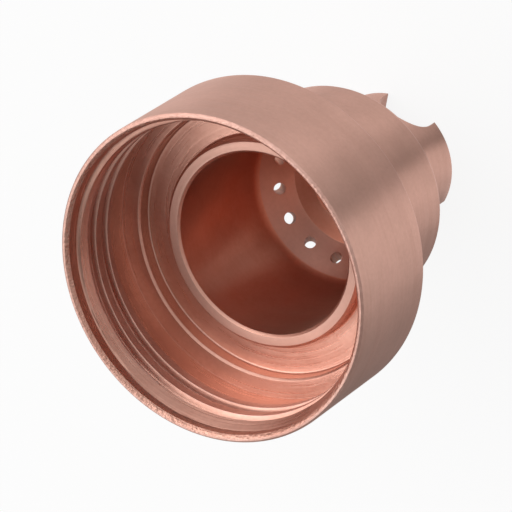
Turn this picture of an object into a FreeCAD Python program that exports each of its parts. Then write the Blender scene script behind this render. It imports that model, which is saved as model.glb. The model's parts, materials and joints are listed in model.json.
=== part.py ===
"""Plasma torch shield.

One piece of turned copper. A wide threaded skirt screws over the end of a torch, a
thinner body goes down to a ring of slanting gas vents, and the nose ends in a crown of
lugs that slides over the work. The shield stands on that crown, with its open end up.

Millimetres. The origin is the centre of the nose end and +Z points to the open rim.
Outlines are given as radius and depth, with depth measured down from the open rim.
"""
import math
import os

import FreeCAD
import Part

# Lengths down the axis
total_length = 36.85          # open rim to the tips of the lugs
skirt_length = 12.35          # open rim to the back edge of the skirt
body_length = 26.40           # open rim to the back edge of the body

# Outside of the skirt, body and nose
skirt_diameter = 34.0
body_diameter = 22.8
nose_diameter = 14.5
front_shoulder_angle = 30.0   # slope from the skirt in to the body, from square
rear_shoulder_angle = 45.0    # slope from the body in to the nose, from square

# Mouth of the skirt, with the thread's bore
mouth_wall = 0.56             # skirt wall beside the lead-in at the rim
lead_in_length = 0.60
thread_wall = 1.55            # skirt wall at the thread's crests
relief_wall = 0.95            # skirt wall at the run-out groove behind the thread
relief_length = 2.50

# Right-hand thread in the skirt's bore
thread_pitch = 2.12
thread_opening = 1.14         # width of the groove between two crests
thread_depth = 0.58
thread_flank_angle = 30.0     # slope of each side of the groove, from square
thread_start_depth = 7.78     # depth of the groove's middle where it starts, in the relief
thread_turns = 4              # from the relief out past the rim
thread_start_angle = 37.0

# Groove that the torch's sealing ring sits in, between the skirt and the collar
groove_wall = 2.70            # skirt wall beside the groove
groove_depth = 1.60           # shelf edge to the groove's floor
shelf_fall = 0.60             # drop of the sloping shelf from the relief to the groove
floor_inset = 0.30            # groove floor to the skirt's back edge, along the axis

# Collar and bore of the body
collar_height = 1.75          # collar's ring face above the groove's floor
collar_wall = 1.42
body_wall = 1.82              # body wall beside the bore

# Gas chamber, seat and orifice in the nose
cone_wall = 2.00              # wall between the two cones, square to their faces
seat_diameter = 13.2          # where the inner cone meets the flatter seat
seat_angle = 30.0             # slope of the seat in to the orifice, from square
orifice_diameter = 4.6

# Slanting gas vents, drilled square to the inner cone
vent_count = 15
vent_diameter = 1.25
vent_inset = 1.20             # from the seat's edge out to the vents' circle
first_vent_angle = 12.8

# Crown of lugs at the nose end
dish_diameter = 10.0
dish_depth = 2.60             # straight part of the dish, from the lugs' tips
dish_angle = 30.0             # slope of the dish's floor in to the orifice, from square
slot_count = 3
slot_width = 5.85             # across the slot's mouth on the outside of the nose
slot_depth = 3.95             # at that mouth, from the lugs' tips
slot_draft = 11.0             # each wall closes in towards the axis by this angle
first_slot_angle = 58.7

# Edges and corners, as the lathe leaves them
rim_bevel = 0.26
back_bevel = 0.20             # back edges of the skirt and of the body
tip_bevel = 0.15
lead_in_slope = 45.0
collar_outer_bevel = 0.30
collar_inner_bevel = 0.25
groove_corner_bevel = 0.15
front_shoulder_bevel = 0.40
rear_shoulder_bevel = 0.45
chamber_bevel = 0.50

skirt_radius = skirt_diameter / 2
body_radius = body_diameter / 2
nose_radius = nose_diameter / 2
bore_radius = body_radius - body_wall
seat_radius = seat_diameter / 2
orifice_radius = orifice_diameter / 2
dish_radius = dish_diameter / 2


def rise(radius_change, degrees_from_square):
    """Length along the axis of a slope that changes radius by this much."""
    return radius_change * math.tan(math.radians(degrees_from_square))


def inner_cone_depth(radius):
    """Depth of the gas chamber's cone, which runs parallel to the rear shoulder."""
    outer_depth = body_length + rise(body_radius - radius, rear_shoulder_angle)
    return outer_depth - cone_wall / math.cos(math.radians(rear_shoulder_angle))


def sharp(radius, depth):
    return [FreeCAD.Vector(radius, 0, total_length - depth), 0.0]


def bevelled(radius, depth, setback):
    return [FreeCAD.Vector(radius, 0, total_length - depth), setback]


def closed_outline(corners):
    """Wire through the corners in order, each cut back by its bevel along both sides."""
    points = []
    for i, (point, setback) in enumerate(corners):
        if setback == 0:
            points.append(point)
            continue
        before = corners[i - 1][0]
        after = corners[(i + 1) % len(corners)][0]
        points.append(point + (before - point).normalize() * setback)
        points.append(point + (after - point).normalize() * setback)
    return Part.makePolygon(points + points[:1])


def outside_corners():
    """From the rim down the outside to the tips of the lugs."""
    front_shoulder_end = skirt_length + rise(skirt_radius - body_radius, front_shoulder_angle)
    rear_shoulder_end = body_length + rise(body_radius - nose_radius, rear_shoulder_angle)
    return [
        bevelled(skirt_radius, 0, rim_bevel),
        bevelled(skirt_radius, skirt_length, back_bevel),
        bevelled(body_radius, front_shoulder_end, front_shoulder_bevel),
        bevelled(body_radius, body_length, back_bevel),
        bevelled(nose_radius, rear_shoulder_end, rear_shoulder_bevel),
        bevelled(nose_radius, total_length, tip_bevel),
    ]


def nose_corners():
    """From the tips of the lugs in to the dish, and up through the orifice."""
    dish_floor = total_length - dish_depth - rise(dish_radius - orifice_radius, dish_angle)
    seat_edge = inner_cone_depth(seat_radius)
    seat_floor = seat_edge + rise(seat_radius - orifice_radius, seat_angle)
    return [
        bevelled(dish_radius, total_length, tip_bevel),
        sharp(dish_radius, total_length - dish_depth),
        sharp(orifice_radius, dish_floor),
        sharp(orifice_radius, seat_floor),
        sharp(seat_radius, seat_edge),
    ]


def inside_corners():
    """From the gas chamber up the bore, over the collar and up the skirt to the rim."""
    floor = skirt_length - floor_inset
    collar_top = floor - collar_height
    collar_radius = bore_radius + collar_wall
    groove_radius = skirt_radius - groove_wall
    shelf_edge = floor - groove_depth
    shelf_top = shelf_edge - shelf_fall
    relief_radius = skirt_radius - relief_wall
    relief_top = shelf_top - relief_length
    crest_radius = skirt_radius - thread_wall
    mouth_radius = skirt_radius - mouth_wall
    lead_in_end = lead_in_length + rise(mouth_radius - crest_radius, lead_in_slope)
    run_out = rise(relief_radius - crest_radius, lead_in_slope)
    return [
        bevelled(bore_radius, inner_cone_depth(bore_radius), chamber_bevel),
        bevelled(bore_radius, collar_top, collar_inner_bevel),
        bevelled(collar_radius, collar_top, collar_outer_bevel),
        bevelled(collar_radius, floor, groove_corner_bevel),
        bevelled(groove_radius, floor, groove_corner_bevel),
        sharp(groove_radius, shelf_edge),
        sharp(relief_radius, shelf_top),
        sharp(relief_radius, relief_top),
        sharp(crest_radius, relief_top - run_out),
        sharp(crest_radius, lead_in_end),
        sharp(mouth_radius, lead_in_length),
        sharp(mouth_radius, 0),
    ]


def turned_body():
    outline = closed_outline(outside_corners() + nose_corners() + inside_corners())
    axis = FreeCAD.Vector(0, 0, 1)
    return Part.Face(outline).revolve(FreeCAD.Vector(0, 0, 0), axis, 360)


def about_axis(shape, degrees):
    turned = shape.copy()
    turned.rotate(FreeCAD.Vector(0, 0, 0), FreeCAD.Vector(0, 0, 1), degrees)
    return turned


def vent_drill():
    """One drill, square to the inner cone, long enough to clear both faces."""
    entry_radius = seat_radius + vent_inset
    entry = FreeCAD.Vector(entry_radius, 0, total_length - inner_cone_depth(entry_radius))
    slope = math.radians(rear_shoulder_angle)
    out_of_cone = FreeCAD.Vector(math.sin(slope), 0, -math.cos(slope))
    run_past = vent_diameter
    start = entry - out_of_cone * run_past
    return Part.makeCylinder(vent_diameter / 2, cone_wall + 2 * run_past, start, out_of_cone)


def thread_section(height):
    """Outline of the thread's groove on the +X side, run past the bore to cut it clean."""
    crest_radius = skirt_radius - thread_wall
    taper = math.tan(math.radians(thread_flank_angle))
    root_half = thread_opening / 2 - thread_depth * taper
    near_half = thread_opening / 2 + thread_depth * taper
    corners = [
        FreeCAD.Vector(crest_radius - thread_depth, 0, height - near_half),
        FreeCAD.Vector(crest_radius + thread_depth, 0, height - root_half),
        FreeCAD.Vector(crest_radius + thread_depth, 0, height + root_half),
        FreeCAD.Vector(crest_radius - thread_depth, 0, height + near_half),
    ]
    return Part.makePolygon(corners + corners[:1])


def thread_cutter():
    """Helical groove, swept turn by turn from the relief out past the rim."""
    lowest = total_length - thread_start_depth
    edges = []
    for i in range(thread_turns):
        turn = Part.makeHelix(thread_pitch, thread_pitch, skirt_radius - thread_wall)
        turn.translate(FreeCAD.Vector(0, 0, lowest + i * thread_pitch))
        edges += turn.Edges
    make_solid = True
    square_to_axis = True
    path = Part.Wire(edges)
    groove = path.makePipeShell([thread_section(lowest)], make_solid, square_to_axis)
    return about_axis(groove, thread_start_angle)


def slot_section(distance):
    """Round-bottomed outline of a slot in the plane this far out from the axis."""
    mouth = math.sqrt(nose_radius ** 2 - (slot_width / 2) ** 2)
    closing = (mouth - distance) * math.tan(math.radians(slot_draft))
    half_width = slot_width / 2 - closing
    spring = slot_depth - slot_width / 2
    left_tip = FreeCAD.Vector(distance, -half_width, -slot_depth)
    left = FreeCAD.Vector(distance, -half_width, spring)
    bottom = FreeCAD.Vector(distance, 0, spring + half_width)
    right = FreeCAD.Vector(distance, half_width, spring)
    right_tip = FreeCAD.Vector(distance, half_width, -slot_depth)
    edges = [
        Part.makeLine(left_tip, left),
        Part.Arc(left, bottom, right).toShape(),
        Part.makeLine(right, right_tip),
        Part.makeLine(right_tip, left_tip),
    ]
    return Part.Wire(edges)


def slot_cutter():
    """Tapered slot, cut from the axis out through the crown's wall."""
    past_the_wall = nose_radius + slot_width
    make_solid = True
    ruled = True
    return Part.makeLoft([slot_section(0), slot_section(past_the_wall)], make_solid, ruled)


def shield():
    body = turned_body()
    drill = vent_drill()
    vents = [about_axis(drill, first_vent_angle + i * 360 / vent_count) for i in range(vent_count)]
    cutter = slot_cutter()
    slots = [about_axis(cutter, first_slot_angle + i * 360 / slot_count) for i in range(slot_count)]
    return body.cut(vents + slots + [thread_cutter()])


os.makedirs("parts", exist_ok=True)
shield().exportStep("parts/torch_shield.step")
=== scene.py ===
"""Looks of the plasma torch shield: turned and threaded copper on a pale floor.

Metres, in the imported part's own frame: the shield stands on its lugs at the origin with
its open end up. Outlines are written in millimetres as radius and depth, with depth
measured down from the open rim, and turns are angles about the axis seen from the nose.
"""

import json
import math

import bmesh
import bpy
from mathutils import Matrix, Vector

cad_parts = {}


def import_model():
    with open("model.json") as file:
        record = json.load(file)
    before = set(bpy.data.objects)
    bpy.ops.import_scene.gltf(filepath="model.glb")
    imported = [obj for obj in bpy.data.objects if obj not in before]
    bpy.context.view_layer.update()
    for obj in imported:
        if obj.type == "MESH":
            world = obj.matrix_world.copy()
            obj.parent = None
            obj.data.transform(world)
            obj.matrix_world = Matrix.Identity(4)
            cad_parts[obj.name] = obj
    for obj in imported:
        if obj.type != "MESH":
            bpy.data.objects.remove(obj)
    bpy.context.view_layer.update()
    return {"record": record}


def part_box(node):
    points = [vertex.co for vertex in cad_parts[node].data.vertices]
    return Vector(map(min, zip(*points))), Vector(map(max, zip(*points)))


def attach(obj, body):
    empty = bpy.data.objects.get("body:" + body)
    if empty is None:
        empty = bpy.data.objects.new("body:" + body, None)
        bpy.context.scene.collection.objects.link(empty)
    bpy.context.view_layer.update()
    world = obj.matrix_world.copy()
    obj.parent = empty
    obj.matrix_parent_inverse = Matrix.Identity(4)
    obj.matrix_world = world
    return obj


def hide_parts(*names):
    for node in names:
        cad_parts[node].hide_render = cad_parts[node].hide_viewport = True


MM = 0.001
NODE = "torch_shield"

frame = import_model()

# Sizes read from the frame, in millimetres
node_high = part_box(NODE)[1]
mounts = {mount["name"]: mount for mount in frame["record"]["mounts"]}
TOTAL_LENGTH = node_high.z / MM
SKIRT_RADIUS = node_high.y / MM
CREST_RADIUS = mounts["torch_thread"]["dims"]["r_mm"]
BORE_RADIUS = mounts["pilot_bore"]["dims"]["r_mm"]
ORIFICE_RADIUS = mounts["arc_orifice"]["dims"]["r_mm"]

# Outside
SKIRT_LENGTH = 12.35
BODY_LENGTH = 26.40
BODY_RADIUS = 11.4
NOSE_RADIUS = 7.25
FRONT_SHOULDER_ANGLE = 30.0
REAR_SHOULDER_ANGLE = 45.0

# Inside of the skirt
MOUTH_RADIUS = 16.58
LEAD_IN_RADIUS = 16.24
LEAD_IN_LENGTH = 1.15
LEAD_IN_END = 2.50
RUN_OUT_START = 6.75
RELIEF_RADIUS = 16.35
RELIEF_TOP = 7.65
SHELF_TOP = 10.38
SHELF_EDGE = 10.45
GROOVE_RADIUS = 14.30
GROOVE_FLOOR = 12.05
COLLAR_RADIUS = 11.0
COLLAR_TOP = 10.30

# Gas chamber, seat, orifice and dish
CONE_WALL = 2.00
SEAT_RADIUS = 6.6
LEDGE_RADIUS = 4.6
LEDGE_ANGLE = 8.0
SEAT_ANGLE = 30.0
DISH_RADIUS = 5.0
DISH_DEPTH = 2.60
DISH_ANGLE = 30.0

# Thread: a right-hand groove whose middle is at THREAD_MIDDLE where the turn is THREAD_START
PITCH = 2.12
THREAD_MIDDLE = 7.78
THREAD_START = -37.0
# Across the groove: how far down from its middle, and how deep it is cut there
GROOVE_PROFILE = (
    (-0.80, 0.0), (-0.60, 0.0), (-0.56, 0.01), (-0.53, 0.05), (-0.45, 0.21), (-0.30, 0.50),
    (-0.15, 0.75), (0.0, 0.79), (0.26, 0.77), (0.36, 0.68), (0.41, 0.54), (0.45, 0.38),
    (0.49, 0.24), (0.53, 0.13), (0.57, 0.05), (0.61, 0.01), (0.66, 0.0), (0.90, 0.0), (1.15, 0.0),
)
# The groove's lower side is worn straight nearest the mouth, on both sides of WORN_TURN
WORN_TURN = 215.0
WORN_SPREAD = 48.0
WORN_STEEPNESS = 1.8
WORN_DEPTH = 4.1
WORN_EDGE = 0.57
WORN_ANGLE = 30.0

# Vents and slots
VENT_COUNT = 15
VENT_DIAMETER = 1.25
VENT_INSET = 1.20
FIRST_VENT = 275.2
SLOT_COUNT = 3
SLOT_WIDTH = 5.85
SLOT_DEPTH = 3.95
SLOT_DRAFT = 11.0
FIRST_SLOT = 61.3
SLOT_RUN_PAST = 2.0

# How finely the mesh is divided
COLUMNS = 360
CORNER_STEPS = 4
LONGEST_RUN = 1.2
LEAD_IN_ROWS = 10
RUN_OUT_ROWS = 3
GROOVE_TURNS = range(-5, 2)
VENT_SIDES = 40
SLOT_STEPS = 24
MERGE_DISTANCE = 0.002
SHARP_ANGLE = 32.0

# Finishes, in the order of the material slots; the bright and bore coppers are redder than the
# satin one as painted shade, and the worn one is lighter partly as a painted highlight
SATIN, BRIGHT_PAINTED_SHADE, WORN_PAINTED_HIGHLIGHT, BORE_PAINTED_SHADE = range(4)
# Where one finish gives way to the next, in millimetres
WALL_MIDDLE = 0.9             # from the body's outside to the middle of its wall
CONE_WALL_MIDDLE = 0.45       # height less radius, in the middle of the wall between the cones
CHAMBER_CORNER = 0.4          # from the bore in to where the cone starts to be straight
RIM_FACE = 0.12               # depth of the rim's worn edge
NEAR = 0.1
VERY_NEAR = 0.04

UP = Vector((0, 0, 1))


def rise(radius_change, degrees_from_square):
    return radius_change * math.tan(math.radians(degrees_from_square))


def inner_cone_depth(radius):
    outer_depth = BODY_LENGTH + rise(BODY_RADIUS - radius, REAR_SHOULDER_ANGLE)
    return outer_depth - CONE_WALL / math.cos(math.radians(REAR_SHOULDER_ANGLE))


def eased(before, corner, after):
    """Points of one rounded corner, each (radius, depth)."""
    radius, depth, size = corner
    point = Vector((radius, depth))
    if size == 0:
        return [(radius, depth)]
    towards_before = (Vector(before[:2]) - point).normalized()
    towards_after = (Vector(after[:2]) - point).normalized()
    half_angle = towards_before.angle(towards_after) / 2
    start = towards_before * (size / math.tan(half_angle))
    end = towards_after * (size / math.tan(half_angle))
    centre = (towards_before + towards_after).normalized() * (size / math.sin(half_angle))
    turned = []
    for i in range(CORNER_STEPS + 1):
        share = i / CORNER_STEPS
        direction = (start * (1 - share) + end * share - centre).normalized()
        turned.append(tuple(point + centre + direction * size))
    return turned


def bevelled(corners):
    """Corners as (radius, depth, rounding). One with a setback too is cut back into two."""
    cut = []
    for i, corner in enumerate(corners):
        if len(corner) == 3:
            cut.append(corner)
            continue
        radius, depth, size, setback = corner
        point = Vector((radius, depth))
        for other in (corners[i - 1], corners[i + 1]):
            moved = point + (Vector(other[:2]) - point).normalized() * setback
            cut.append((moved.x, moved.y, size))
    return cut


def rounded_line(corners):
    """Points along a line of corners, with long runs divided."""
    corners = bevelled(corners)
    points = []
    last = len(corners) - 1
    for i, corner in enumerate(corners):
        if i in (0, last):
            points.append(corner[:2])
        else:
            points.extend(eased(corners[i - 1], corner, corners[i + 1]))
    divided = [points[0]]
    for a, b in zip(points, points[1:]):
        steps = max(1, math.ceil(math.dist(a, b) / LONGEST_RUN))
        for k in range(1, steps + 1):
            divided.append(tuple(a[n] + (b[n] - a[n]) * k / steps for n in (0, 1)))
    return divided


def plain_line():
    """Everything but the thread: relief, collar, bore, nose and outside, up to the mouth."""
    front_end = SKIRT_LENGTH + rise(SKIRT_RADIUS - BODY_RADIUS, FRONT_SHOULDER_ANGLE)
    rear_end = BODY_LENGTH + rise(BODY_RADIUS - NOSE_RADIUS, REAR_SHOULDER_ANGLE)
    seat_edge = inner_cone_depth(SEAT_RADIUS)
    seat_floor = seat_edge + rise(SEAT_RADIUS - ORIFICE_RADIUS, SEAT_ANGLE)
    dish_bottom = TOTAL_LENGTH - DISH_DEPTH
    dish_floor = dish_bottom - rise(DISH_RADIUS - ORIFICE_RADIUS, DISH_ANGLE)
    corners = [
        (RELIEF_RADIUS, RELIEF_TOP, 0),
        (RELIEF_RADIUS, SHELF_TOP, 0.03),
        (GROOVE_RADIUS, SHELF_EDGE, 0.06, 0.22),
        (GROOVE_RADIUS, GROOVE_FLOOR, 0.20),
        (COLLAR_RADIUS, GROOVE_FLOOR, 0.20),
        (COLLAR_RADIUS, COLLAR_TOP, 0.05, 0.30),
        (BORE_RADIUS, COLLAR_TOP, 0.05, 0.25),
        (BORE_RADIUS, inner_cone_depth(BORE_RADIUS), 1.20),
        (SEAT_RADIUS, seat_edge, 0.12),
        (LEDGE_RADIUS, seat_edge + rise(SEAT_RADIUS - LEDGE_RADIUS, LEDGE_ANGLE), 0.20),
        (ORIFICE_RADIUS, seat_floor, 0.10),
        (ORIFICE_RADIUS, dish_floor, 0.10),
        (DISH_RADIUS, dish_bottom, 0.15),
        (DISH_RADIUS, TOTAL_LENGTH, 0.10),
        (NOSE_RADIUS, TOTAL_LENGTH, 0.10),
        (NOSE_RADIUS, rear_end, 0.50),
        (BODY_RADIUS, BODY_LENGTH, 0.03, 0.20),
        (BODY_RADIUS, front_end, 0.40),
        (SKIRT_RADIUS, SKIRT_LENGTH, 0.03, 0.16),
        (SKIRT_RADIUS, 0.0, 0.04, 0.20),
        (MOUTH_RADIUS, 0.0, 0.04),
        (LEAD_IN_RADIUS, MOUTH_RADIUS - LEAD_IN_RADIUS, 0.05),
        (LEAD_IN_RADIUS, LEAD_IN_LENGTH, 0),
    ]
    return rounded_line(corners)


def groove_middle(turn):
    return THREAD_MIDDLE + PITCH * (turn - THREAD_START) / 360


def cut_at(offset, depth, turn):
    """How deep the groove is cut this far from its middle, with its worn side allowed for."""
    deep = 0.0
    for (a, deep_a), (b, deep_b) in zip(GROOVE_PROFILE, GROOVE_PROFILE[1:]):
        if a <= offset <= b:
            deep = deep_a + (deep_b - deep_a) * (offset - a) / (b - a)
    worn = WORN_STEEPNESS * (1 - abs(turn - WORN_TURN) / WORN_SPREAD)
    worn = min(1.0, max(0.0, worn))
    if worn > 0 and depth < WORN_DEPTH and offset > 0:
        straight = max(0.0, WORN_EDGE - offset) / math.tan(math.radians(WORN_ANGLE))
        deep = deep * (1 - worn) + min(deep, straight) * worn
    return deep


def thread_radius(depth, turn):
    """Wall radius from the lead-in to the relief, with the helical groove cut in it."""
    past_lead_in = max(0.0, depth - LEAD_IN_LENGTH) / (LEAD_IN_END - LEAD_IN_LENGTH)
    lead_in = LEAD_IN_RADIUS - past_lead_in * (LEAD_IN_RADIUS - CREST_RADIUS)
    run_out = RELIEF_RADIUS - max(0.0, RELIEF_TOP - depth)
    offset = ((depth - groove_middle(turn)) / PITCH + 0.5) % 1.0 * PITCH - PITCH / 2
    return max(CREST_RADIUS + cut_at(offset, depth, turn), lead_in, run_out)


def thread_depths(turn):
    """Depths of one column's rows: level in the lead-in and the run-out, and else on the helix."""
    lead_in_spacing = (LEAD_IN_END - LEAD_IN_LENGTH) / LEAD_IN_ROWS
    depths = [LEAD_IN_LENGTH + i * lead_in_spacing for i in range(LEAD_IN_ROWS + 1)]
    for k in GROOVE_TURNS:
        middle = groove_middle(turn) + k * PITCH
        for offset, _ in GROOVE_PROFILE:
            depths.append(min(RUN_OUT_START, max(LEAD_IN_LENGTH, middle + offset)))
    run_out_spacing = (RELIEF_TOP - RUN_OUT_START) / RUN_OUT_ROWS
    run_out = [RUN_OUT_START + i * run_out_spacing for i in range(1, RUN_OUT_ROWS + 1)]
    return sorted(depths) + run_out


def at(radius, depth, turn):
    """A point in metres. Turns run clockwise from +X, seen from above the open end."""
    angle = math.radians(turn)
    height = TOTAL_LENGTH - depth
    return Vector((radius * math.cos(angle), -radius * math.sin(angle), height)) * MM


def outwards(turn):
    return (at(1, 0, turn) - at(0, 0, turn)) / MM


def lathe_mesh():
    """Closed surface of columns round the axis, before the vents and slots are cut."""
    plain = plain_line()
    mesh = bmesh.new()
    columns = []
    for j in range(COLUMNS + 1):
        turn = 360 * j / COLUMNS
        column = [at(r, d, turn) for r, d in plain]
        column += [at(thread_radius(d, turn), d, turn) for d in thread_depths(turn)]
        columns.append([mesh.verts.new(point) for point in column])
    rows = len(columns[0])
    for j in range(COLUMNS):
        here, there = columns[j], columns[j + 1]
        for i in range(rows):
            k = (i + 1) % rows
            mesh.faces.new((here[i], here[k], there[k], there[i]))
    bmesh.ops.remove_doubles(mesh, verts=mesh.verts, dist=MERGE_DISTANCE * MM)
    bmesh.ops.recalc_face_normals(mesh, faces=mesh.faces)
    return mesh


def prism(mesh, near, far):
    """Closed solid between two loops of as many points."""
    a = [mesh.verts.new(p) for p in near]
    b = [mesh.verts.new(p) for p in far]
    mesh.faces.new(a[::-1])
    mesh.faces.new(b)
    for i in range(len(a)):
        k = (i + 1) % len(a)
        mesh.faces.new((a[i], a[k], b[k], b[i]))


def vent_loops(turn):
    """Near and far ends of a drill that runs square to the inner cone."""
    entry_radius = SEAT_RADIUS + VENT_INSET
    entry = at(entry_radius, inner_cone_depth(entry_radius), turn)
    slope = math.radians(REAR_SHOULDER_ANGLE)
    axis = outwards(turn) * math.sin(slope) - UP * math.cos(slope)
    across = UP.cross(outwards(turn))
    along = axis.cross(across)
    radius = VENT_DIAMETER / 2 * MM
    loops = []
    for distance in (-VENT_DIAMETER, CONE_WALL + VENT_DIAMETER):
        centre = entry + axis * distance * MM
        loop = []
        for i in range(VENT_SIDES):
            angle = 2 * math.pi * i / VENT_SIDES
            sideways = across * (radius * math.cos(angle))
            loop.append(centre + sideways + along * (radius * math.sin(angle)))
        loops.append(loop)
    return loops


def slot_loop(distance, turn):
    """Round-bottomed outline of a slot in the plane this far out from the axis."""
    mouth = math.sqrt(NOSE_RADIUS ** 2 - (SLOT_WIDTH / 2) ** 2)
    half_width = SLOT_WIDTH / 2 - (mouth - distance) * math.tan(math.radians(SLOT_DRAFT))
    spring = SLOT_DEPTH - SLOT_WIDTH / 2
    sideways = UP.cross(outwards(turn))
    loop = [(-half_width, -SLOT_DEPTH)]
    for k in range(SLOT_STEPS + 1):
        angle = math.pi * k / SLOT_STEPS
        loop.append((-half_width * math.cos(angle), spring + half_width * math.sin(angle)))
    loop.append((half_width, -SLOT_DEPTH))
    return [(outwards(turn) * distance + sideways * s + UP * h) * MM for s, h in loop]


def cutters_mesh():
    mesh = bmesh.new()
    for i in range(VENT_COUNT):
        near, far = vent_loops(FIRST_VENT + 360 * i / VENT_COUNT)
        prism(mesh, near, far)
    for i in range(SLOT_COUNT):
        turn = FIRST_SLOT + 360 * i / SLOT_COUNT
        prism(mesh, slot_loop(0.0, turn), slot_loop(NOSE_RADIUS + SLOT_RUN_PAST, turn))
    bmesh.ops.recalc_face_normals(mesh, faces=mesh.faces)
    return mesh


def new_object(name, mesh):
    data = bpy.data.meshes.new(name)
    mesh.to_mesh(data)
    mesh.free()
    made = bpy.data.objects.new(name, data)
    bpy.context.scene.collection.objects.link(made)
    return made


def shield_body():
    body = new_object("shield_body", lathe_mesh())
    cutters = new_object("cutters", cutters_mesh())
    cut = body.modifiers.new("cut", "BOOLEAN")
    cut.operation = "DIFFERENCE"
    cut.solver = "EXACT"
    cut.object = cutters
    bpy.context.view_layer.update()
    shown = body.evaluated_get(bpy.context.evaluated_depsgraph_get())
    body.data = bpy.data.meshes.new_from_object(shown)
    body.modifiers.clear()
    bpy.data.objects.remove(cutters)
    for face in body.data.polygons:
        face.use_smooth = True
    body.data.set_sharp_from_angle(angle=math.radians(SHARP_ANGLE))
    return body


def finish_of(point):
    """Finish of a face with this centre.

    The outside, the vents' cone and the collar's ring are satin. The skirt is bright
    inside, in a slightly redder copper that is partly painted shade, and the bore is redder
    still, as painted shade. The rim and the thread's crests are worn, in a lighter copper
    that is partly a painted highlight.
    """
    radius = math.hypot(point.x, point.y) / MM
    height = point.z / MM
    depth = TOTAL_LENGTH - height
    on_cone = abs(inner_cone_depth(radius) - depth) < NEAR
    if on_cone and SEAT_RADIUS < radius < BORE_RADIUS - CHAMBER_CORNER:
        return SATIN
    if depth > SKIRT_LENGTH:
        in_body = radius < min(BODY_RADIUS - WALL_MIDDLE, height - CONE_WALL_MIDDLE)
        return BORE_PAINTED_SHADE if in_body else SATIN
    if radius < BORE_RADIUS + NEAR:
        return BORE_PAINTED_SHADE
    # The rim and the crests take the lighter worn copper: partly wear, partly a painted highlight
    # on the crests' edges and the rim
    if depth < RIM_FACE or depth < RUN_OUT_START and radius < CREST_RADIUS + VERY_NEAR:
        return WORN_PAINTED_HIGHLIGHT
    on_collar = abs(depth - COLLAR_TOP) < VERY_NEAR and radius < COLLAR_RADIUS
    if on_collar or radius >= MOUTH_RADIUS + NEAR:
        return SATIN
    return BRIGHT_PAINTED_SHADE


def node(tree, kind, **settings):
    made = tree.nodes.new("ShaderNode" + kind)
    for name, value in settings.items():
        setattr(made, name, value)
    return made


def calculate(tree, operation, *inputs):
    made = node(tree, "Math", operation=operation)
    for i, value in enumerate(inputs):
        if isinstance(value, (int, float)):
            made.inputs[i].default_value = value
        else:
            tree.links.new(value, made.inputs[i])
    return made.outputs[0]


def noise_of(tree, vector, scale, detail, roughness=0.5):
    made = node(tree, "TexNoise")
    made.inputs["Scale"].default_value = scale
    made.inputs["Detail"].default_value = detail
    made.inputs["Roughness"].default_value = roughness
    tree.links.new(vector, made.inputs["Vector"])
    return made.outputs["Fac"]


def spread(tree, value, low, high, to_low, to_high):
    """A value between low and high, mapped to between to_low and to_high."""
    made = node(tree, "MapRange")
    tree.links.new(value, made.inputs["Value"])
    made.inputs["From Min"].default_value = low
    made.inputs["From Max"].default_value = high
    made.inputs["To Min"].default_value = to_low
    made.inputs["To Max"].default_value = to_high
    return made.outputs[0]


def mixed(tree, share, first, second):
    """Blend of two colours, each given as a tuple or by a socket."""
    made = node(tree, "Mix", data_type="RGBA")
    tree.links.new(share, made.inputs["Factor"])
    for socket, value in ((made.inputs["A"], first), (made.inputs["B"], second)):
        if isinstance(value, tuple):
            socket.default_value = (*value, 1)
        else:
            tree.links.new(value, socket)
    return made.outputs["Result"]


# Texture scales in the metal, the first for each millimetre and the others for each metre
RING_SCALE = 3.5
BLOTCH_SCALE = 170
GRAIN_SCALE = 2600
# How far the rings change for each radian round the axis
RING_DRIFT = 0.3
# How the tint is mixed, and the parts of each noise's range that are used in full
BLOTCH_SHARE = 0.7
GRAIN_SHARE = 0.3
TINT_RANGE = (0.38, 0.62)
RING_RANGE = (0.3, 0.7)
ROUGHNESS_SWING = 0.05
# The rim is burred from BURR_START up to BURR_FULL below its edge, in millimetres
BURR_START = 0.55
BURR_FULL = 0.15
BURR_STRENGTH = 5


def ring_lines(tree, place):
    """Fine tool marks that run round the axis."""
    split = node(tree, "SeparateXYZ")
    tree.links.new(place, split.inputs[0])
    x, y, z = split.outputs
    square = calculate(tree, "MULTIPLY", x, x)
    square = calculate(tree, "ADD", square, calculate(tree, "MULTIPLY", y, y))
    radius = calculate(tree, "SQRT", square)
    turn = calculate(tree, "ARCTAN2", y, x)
    rings = node(tree, "CombineXYZ")
    tree.links.new(calculate(tree, "MULTIPLY", radius, 1 / MM), rings.inputs[0])
    tree.links.new(calculate(tree, "MULTIPLY", turn, RING_DRIFT), rings.inputs[1])
    tree.links.new(calculate(tree, "MULTIPLY", z, 1 / MM), rings.inputs[2])
    return noise_of(tree, rings.outputs[0], RING_SCALE, 4, 0.65)


def burr_strength(tree, place, grain_share):
    """How far the grain stands out: most at the rim, and grain_share elsewhere."""
    split = node(tree, "SeparateXYZ")
    tree.links.new(place, split.inputs[0])
    starts = (TOTAL_LENGTH - BURR_START) * MM
    full = (TOTAL_LENGTH - BURR_FULL) * MM
    at_rim = spread(tree, split.outputs[2], starts, full, 0, BURR_STRENGTH)
    return calculate(tree, "ADD", at_rim, grain_share)


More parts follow.
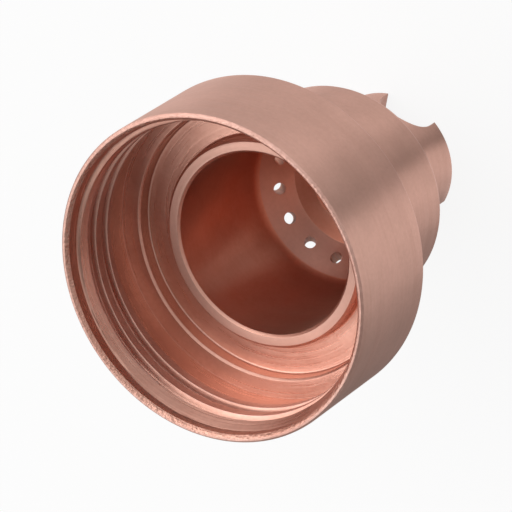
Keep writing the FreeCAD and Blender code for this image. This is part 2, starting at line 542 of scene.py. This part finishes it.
def copper(name, base, dull, roughness, anisotropy, line_depth, grain_share):
    """Turned copper: fine rings round the axis, with a blotchy tint and a burred rim."""
    material = bpy.data.materials.new(name)
    material.use_nodes = True
    tree = material.node_tree
    shader = tree.nodes["Principled BSDF"]
    shader.inputs["Metallic"].default_value = 1
    shader.inputs["Anisotropic"].default_value = anisotropy
    shader.inputs["Anisotropic Rotation"].default_value = 0.25
    tangent = node(tree, "Tangent", direction_type="RADIAL", axis="Z")
    tree.links.new(tangent.outputs[0], shader.inputs["Tangent"])

    place = node(tree, "TexCoord").outputs["Object"]
    lines = ring_lines(tree, place)
    blotches = noise_of(tree, place, BLOTCH_SCALE, 3)
    grain = noise_of(tree, place, GRAIN_SCALE, 2)

    marks = calculate(tree, "MULTIPLY", blotches, BLOTCH_SHARE)
    marks = calculate(tree, "ADD", marks, calculate(tree, "MULTIPLY", grain, GRAIN_SHARE))
    tint = spread(tree, marks, *TINT_RANGE, 0, 1)
    tree.links.new(mixed(tree, tint, dull, base), shader.inputs["Base Color"])

    smoothest = roughness - ROUGHNESS_SWING
    roughest = roughness + ROUGHNESS_SWING
    uneven = spread(tree, lines, *RING_RANGE, smoothest, roughest)
    tree.links.new(uneven, shader.inputs["Roughness"])

    burrs = calculate(tree, "MULTIPLY", grain, burr_strength(tree, place, grain_share))
    bump = node(tree, "Bump")
    bump.inputs["Distance"].default_value = line_depth * MM
    tree.links.new(calculate(tree, "ADD", lines, burrs), bump.inputs["Height"])
    tree.links.new(bump.outputs[0], shader.inputs["Normal"])
    return material


def plane(name, half, height):
    mesh = bmesh.new()
    corners = [(-half, -half), (half, -half), (half, half), (-half, half)]
    mesh.faces.new([mesh.verts.new((x, y, height)) for x, y in corners])
    return new_object(name, mesh)


def ramp(tree, value, stops):
    """Grey levels by position, blended smoothly."""
    made = node(tree, "ValToRGB")
    made.color_ramp.interpolation = "EASE"
    elements = made.color_ramp.elements
    while len(elements) < len(stops):
        elements.new(0.5)
    for element, (position, level) in zip(elements, stops):
        element.position = position
        element.color = (level, level, level, 1)
    tree.links.new(value, made.inputs[0])
    return made.outputs[0]


# Painted reflection: how brightly the floor glows for the metal, by compass direction round the
# part from -X
PAINTED_REFLECTION_STOPS = (
    (0.0, 0.34), (0.05, 0.48), (0.10, 0.78), (0.15, 0.96), (0.19, 0.90), (0.23, 0.37),
    (0.27, 0.55), (0.33, 0.82), (0.40, 0.66), (0.47, 0.56), (0.54, 0.66), (0.60, 0.45),
    (0.69, 0.14), (0.77, 0.27), (0.85, 0.21), (0.94, 0.21), (1.0, 0.34),
)
PAINTED_REFLECTION_LEVEL = 1.25
FLOOR_GREY = (0.85, 0.85, 0.85, 1)
FLOOR_ROUGHNESS = 0.9
FLOOR_HALF = 1.5
# Share of the floor that glows, so that the rest of it keeps the part's shadow
GLOW_SHARE = 0.88
# Light from the studio, by compass direction from -X and by height from level to overhead
AROUND_STOPS = (
    (0.0, 0.14), (0.05, 0.16), (0.13, 0.27), (0.21, 0.34), (0.29, 0.38), (0.38, 0.53),
    (0.46, 0.87), (0.54, 1.0), (0.63, 0.93), (0.71, 0.71), (0.79, 0.46), (0.88, 0.23), (1.0, 0.14),
)
UPWARDS_STOPS = (
    (0.0, 0.30), (0.13, 0.42), (0.38, 0.82), (0.59, 0.58), (0.74, 1.0), (0.87, 0.88),
    (0.93, 0.35), (0.97, 0.17), (1.0, 0.16),
)
STUDIO_LEVEL = 2.75
WHITE = (1.0, 1.0, 1.0)


def around(tree, place, stops):
    """Grey level by compass direction."""
    compass = node(tree, "TexGradient", gradient_type="RADIAL")
    tree.links.new(place, compass.inputs[0])
    return ramp(tree, compass.outputs["Fac"], stops)


def floor():
    """White to the camera; for the metal it glows in a painted pattern of light and dark by
    compass direction, a painted reflection.
    """
    ground = plane("floor", FLOOR_HALF, 0.0)
    material = bpy.data.materials.new("floor_white")
    material.use_nodes = True
    tree = material.node_tree
    shader = tree.nodes["Principled BSDF"]
    shader.inputs["Base Color"].default_value = FLOOR_GREY
    shader.inputs["Roughness"].default_value = FLOOR_ROUGHNESS
    place = node(tree, "TexCoord").outputs["Object"]
    # Painted reflection: the glow that the metal sees changes with compass direction
    level = calculate(tree, "MULTIPLY", around(tree, place, PAINTED_REFLECTION_STOPS), PAINTED_REFLECTION_LEVEL)
    path = node(tree, "LightPath").outputs
    glow = node(tree, "Emission")
    tree.links.new(mixed(tree, path["Is Camera Ray"], level, WHITE), glow.inputs["Color"])
    seen = calculate(tree, "MAXIMUM", path["Is Camera Ray"], path["Is Glossy Ray"])
    seen = calculate(tree, "MAXIMUM", seen, path["Is Transmission Ray"])
    mix = node(tree, "MixShader")
    tree.links.new(calculate(tree, "MULTIPLY", seen, GLOW_SHARE), mix.inputs[0])
    tree.links.new(shader.outputs[0], mix.inputs[1])
    tree.links.new(glow.outputs[0], mix.inputs[2])
    tree.links.new(mix.outputs[0], tree.nodes["Material Output"].inputs[0])
    ground.data.materials.append(material)


def world():
    """Broad light from the +X side that fades round the part, and white for the camera."""
    made = bpy.data.worlds.new("studio")
    bpy.context.scene.world = made
    made.use_nodes = True
    tree = made.node_tree
    towards = node(tree, "TexCoord").outputs["Generated"]
    split = node(tree, "SeparateXYZ")
    tree.links.new(towards, split.inputs[0])
    upwards = ramp(tree, split.outputs["Z"], UPWARDS_STOPS)
    lit = calculate(tree, "MULTIPLY", around(tree, towards, AROUND_STOPS), upwards)
    lit = calculate(tree, "MULTIPLY", lit, STUDIO_LEVEL)
    seen = node(tree, "LightPath").outputs["Is Camera Ray"]
    unseen = calculate(tree, "MULTIPLY", lit, calculate(tree, "SUBTRACT", 1.0, seen))
    background = tree.nodes["Background"]
    background.inputs["Color"].default_value = (*WHITE, 1)
    tree.links.new(calculate(tree, "MAXIMUM", unseen, seen), background.inputs["Strength"])


# Camera of the photograph, with its clip distances in metres
LENS = 309.9
SENSOR = 36.0
CLIP_START = 0.01
CLIP_END = 10
CAMERA_ELEVATION = 52.93
CAMERA_ROLL = -123.82
# From the camera to the centre of the open rim, in millimetres
CAMERA_DISTANCE = 427.3
RIM_RIGHT_OF_AXIS = -4.54
RIM_ABOVE_AXIS = -2.34


def camera():
    """Looks along +Y and down, rolled so that the open end faces the lower left."""
    elevation = math.radians(CAMERA_ELEVATION)
    roll = math.radians(CAMERA_ROLL)
    forward = Vector((0, math.cos(elevation), -math.sin(elevation)))
    level_right = Vector((1, 0, 0))
    level_up = level_right.cross(forward)
    right = level_right * math.cos(roll) + level_up * math.sin(roll)
    up = level_up * math.cos(roll) - level_right * math.sin(roll)
    rim = Vector((0, 0, TOTAL_LENGTH))
    place = rim - right * RIM_RIGHT_OF_AXIS - up * RIM_ABOVE_AXIS - forward * CAMERA_DISTANCE
    data = bpy.data.cameras.new("camera")
    data.lens = LENS
    data.sensor_width = SENSOR
    data.clip_start = CLIP_START
    data.clip_end = CLIP_END
    made = bpy.data.objects.new("camera", data)
    turned = Matrix((right, up, -forward)).transposed().to_4x4()
    made.matrix_world = Matrix.Translation(place * MM) @ turned
    bpy.context.scene.collection.objects.link(made)
    bpy.context.scene.camera = made


def finishes():
    """The four coppers, in the order of their slots."""
    return (
        copper("satin_copper", base=(0.67, 0.385, 0.31), dull=(0.60, 0.345, 0.275),
               roughness=0.40, anisotropy=0.85, line_depth=0.008, grain_share=0.1),
        # Smoother and more finely turned inside the skirt, and slightly redder than the outside as
        # painted shade
        copper("bright_copper_painted_shade", base=(0.75, 0.42, 0.33), dull=(0.65, 0.34, 0.26),
               roughness=0.30, anisotropy=0.85, line_depth=0.030, grain_share=0.1),
        # Lighter worn copper for the rim and the crests: partly wear and partly a painted
        # highlight
        copper("worn_copper_painted_highlight", base=(0.78, 0.48, 0.40), dull=(0.66, 0.37, 0.30),
               roughness=0.42, anisotropy=0.60, line_depth=0.012, grain_share=1.5),
        # Painted shade: the bore's copper is redder than the outside, standing in for light
        # bouncing inside the bore
        copper("bore_copper_painted_shade", base=(0.72, 0.36, 0.265), dull=(0.66, 0.31, 0.22),
               roughness=0.33, anisotropy=0.85, line_depth=0.006, grain_share=0.1),
    )


bpy.context.scene.view_settings.view_transform = "Standard"
shield = shield_body()
for finish in finishes():
    shield.data.materials.append(finish)
for face in shield.data.polygons:
    face.material_index = finish_of(face.center)
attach(shield, "root")
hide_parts(NODE)
floor()
world()
camera()
